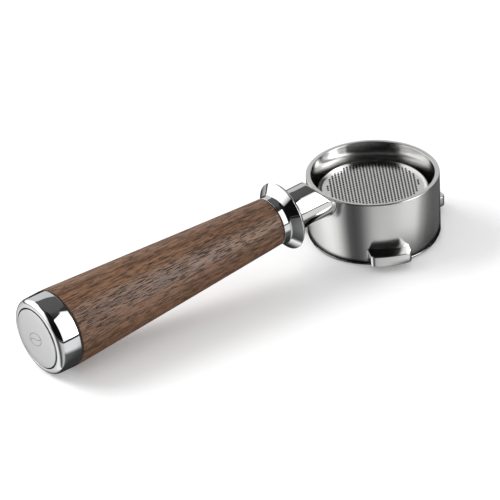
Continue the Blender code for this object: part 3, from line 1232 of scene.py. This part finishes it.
@dataclass(frozen=True)
class Surround:
    """The cards and screens that shiny surfaces mirror, by compass angle in degrees from +X.

    Each band is a row of (angle, brightness) stops. Low is the table, mid the standing cards,
    and ceiling gives how high the cards reach, as the sine of the elevation.
    """

    low: Stops = (
        (-180, 0.3), (-172, 0.1), (-161, 0.07), (-150, 0.12), (-140, 0.3), (-129, 0.52), (-119, 0.6),
        (-98, 0.67), (-88, 0.75), (-77, 0.83), (-65, 0.87), (-53, 0.84), (-39, 0.4), (-24, 0.18),
        (-6, 0.13), (20, 0.14), (40, 0.03), (68, 0.03), (96, 0.6), (120, 0.85), (137, 1.06),
        (152, 1.1), (165, 0.88), (177, 0.42), (180, 0.3),
    )
    mid: Stops = (
        (-180, 0.5), (-177, 0.005), (-82, 0.005), (-78, 1.35), (-66, 1.3), (-60, 4.5), (-46, 4.5),
        (-40, 1.25), (-28, 1.2), (-24, 0.04), (14, 0.05), (24, 0.5), (40, 0.62), (64, 0.66),
        (86, 0.7), (92, 1.4), (164, 1.5), (180, 0.5),
    )
    ceiling: Stops = (
        (-180, 0.6), (-140, 0.6), (-80, 0.86), (-47, 0.87), (-32, 0.885), (-10, 0.9), (20, 0.75),
        (60, 0.585), (90, 0.62), (110, 0.78), (165, 0.78), (180, 0.6),
    )
    roof: Stops = (
        (-180, 0.02), (-150, 0.01), (-70, 0.01), (-40, 0.05), (-10, 0.1), (60, 0.115), (120, 0.1),
        (180, 0.02),
    )
    shade: Stops = ((-180, 0.0), (-110, 0.0), (-80, 0.9), (60, 0.9), (90, 0.2), (180, 0.0))
    fill: float = 0.8
    steep: tuple[float, float] = (-0.48, -0.66)
    horizon: tuple[float, float, float, float] = (-0.12, -0.1, -0.035, -0.02)
    edge: float = 0.012

    @staticmethod
    def band(nodes: Nodes, where: Socket, stops: Stops) -> Socket:
        """Make a ramp over the compass.

        Args:
            nodes: The tree to add to.
            where: The socket with the angle as a share of the full turn.
            stops: The ramp's stops.

        Returns:
            The ramp's colour output.
        """
        ramp = nodes.add("ValToRGB", {"Fac": where})
        points = ramp.color_ramp.elements
        while len(points) < len(stops):
            points.new(0.5)
        for point, (angle, value) in zip(points, stops):
            point.position = (angle + 180.0) / 360.0
            point.color = (value, value, value, 1.0)
        return ramp.outputs["Color"]

    def build(self) -> None:
        """Make the world."""
        world = bpy.data.worlds.new("studio_room")
        world.use_nodes = True
        nodes = Nodes(world.node_tree)
        plain = world.node_tree.nodes["Background"]
        nodes.feed(plain, {"Strength": self.fill, "Color": (1.0, 1.0, 1.0, 1.0)})
        x, y, z = nodes.add("SeparateXYZ", {0: nodes.add("TexCoord").outputs["Generated"]}).outputs
        compass = nodes.math("ADD", nodes.math("DIVIDE", nodes.math("ARCTAN2", y, x), TAU), 0.5)
        low, mid, top, shade, roof = (
            self.band(nodes, compass, stops)
            for stops in (self.low, self.mid, self.ceiling, self.shade, self.roof)
        )
        dark = nodes.math("MULTIPLY", nodes.remap(z, *self.steep), shade)
        low = nodes.mix(dark, low, (0.03, 0.03, 0.03, 1.0))
        from_below = nodes.remap(z, *self.horizon[:2])
        from_above = nodes.remap(z, *self.horizon[2:], 1.0, 0.0)
        low = nodes.mix(nodes.math("MULTIPLY", from_below, from_above), low, (0.02, 0.02, 0.02, 1.0))
        seen = nodes.mix(nodes.remap(z, -0.02, -0.01), low, mid)
        above = nodes.remap(nodes.math("SUBTRACT", z, top), -self.edge, self.edge)
        cards = nodes.add("Background", {"Color": nodes.mix(above, seen, roof), "Strength": 1.0})
        glossy = nodes.add("LightPath").outputs["Is Glossy Ray"]
        choose = nodes.add("MixShader", {0: glossy, 1: plain.outputs[0], 2: cards.outputs[0]})
        nodes.feed(world.node_tree.nodes["World Output"], {"Surface": choose.outputs[0]})
        world.cycles.sampling_method = "NONE"
        bpy.context.scene.world = world


@dataclass
class Studio:
    """The pale floor, the soft lights and the camera."""

    azimuth: float = -36.01
    elevation: float = 30.48
    roll: float = -2.42
    distance: float = 2.3433
    lens: float = 362.59
    aim: Vector = field(default_factory=lambda: Vector((-0.06977, 0.00458, 0.015)))
    # the ring of painted shade under the head, seen only in reflections
    shade_ring_radius: float = 0.0355
    shade_ring_hole: float = 0.0285
    paper_reach: float = 4.0
    paper_glow: float = 0.14
    surround: Surround = Surround()
    lights: tuple[Softbox, ...] = (Softbox("back_left_box", 128.0, 40.0, 1.2, 0.8, 0.55, 10.5),)

    def floor(self) -> None:
        """Lay the floor, which shows only from above and isn't mirrored."""
        bm = bmesh.new()
        bmesh.ops.create_grid(bm, x_segments=1, y_segments=1, size=self.paper_reach)
        mat, nodes, shader, coords = start_material("studio_paper", False)
        backfacing = nodes.add("NewGeometry").outputs["Backfacing"]
        nodes.feed(shader, {
            "Base Color": nodes.remap(nodes.noise(coords, 3.0), 0.0, 1.0, 0.86, 0.88),
            "Roughness": 0.9,
            "Specular IOR Level": 0.1,
            "Emission Color": (1.0, 1.0, 1.0, 1.0),
            "Emission Strength": self.paper_glow,
            "Alpha": nodes.math("SUBTRACT", 1.0, backfacing),
        })
        paper = link_mesh(bm, "studio_floor", mat)
        paper.visible_glossy = False

    def shade_ring_under_head(self) -> None:
        """Lay a black ring just under the head, which only reflections show: painted shade that darkens the
        table where the head's lower edges mirror it.
        """
        bm = bmesh.new()
        for radius in (self.shade_ring_radius, self.shade_ring_hole):
            bmesh.ops.create_circle(bm, cap_ends=False, segments=64, radius=radius)
        bmesh.ops.bridge_loops(bm, edges=bm.edges)
        bmesh.ops.translate(bm, verts=bm.verts, vec=(0.0, 0.0, -MM))
        mat, nodes, shader, _ = start_material("painted_shade_black", False)
        # painted shade: a near-black sheet that only glossy rays see
        black = (0.004, 0.004, 0.004, 1.0)
        nodes.feed(shader, {"Base Color": black, "Roughness": 1.0, "Specular IOR Level": 0.0})
        shade_ring = link_mesh(bm, "painted_shade_ring", mat)
        shade_ring.visible_camera = shade_ring.visible_diffuse = shade_ring.visible_shadow = False

    def camera(self) -> None:
        """Set up the camera."""
        az, el = math.radians(self.azimuth), math.radians(self.elevation)
        back = Vector((math.sin(az) * math.cos(el), -math.cos(az) * math.cos(el), math.sin(el)))
        right = Vector(UP).cross(back).normalized()
        up = back.cross(right)
        roll = math.radians(self.roll)
        c, s = math.cos(roll), math.sin(roll)
        right, up = right * c + up * s, up * c - right * s
        data = bpy.data.cameras.new("studio_camera")
        data.lens = self.lens
        data.sensor_width = 36.0
        data.clip_end = 20.0
        data.clip_start = 0.01
        camera = bpy.data.objects.new("studio_camera", data)
        turned = Matrix((right, up, back)).transposed().to_4x4()
        camera.matrix_world = Matrix.Translation(self.aim + back * self.distance) @ turned
        bpy.context.scene.collection.objects.link(camera)
        bpy.context.scene.camera = camera

    def build(self) -> None:
        """Build the whole studio."""
        self.floor()
        self.shade_ring_under_head()
        self.surround.build()
        for box in self.lights:
            box.build(self.aim)
        self.camera()
        bpy.context.scene.view_settings.view_transform = "Standard"


def main() -> None:
    """Build the portafilter and its studio in order."""
    logging.basicConfig(level=logging.INFO, format="%(message)s")
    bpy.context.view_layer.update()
    finishes = Finishes()
    Studio().build()
    Head(finishes).build()
    Basket(finishes).build()
    Clip(finishes).build()
    handle = Handle(finishes)
    handle.build()
    handle.dress_hidden()


if __name__ == "__main__":
    main()
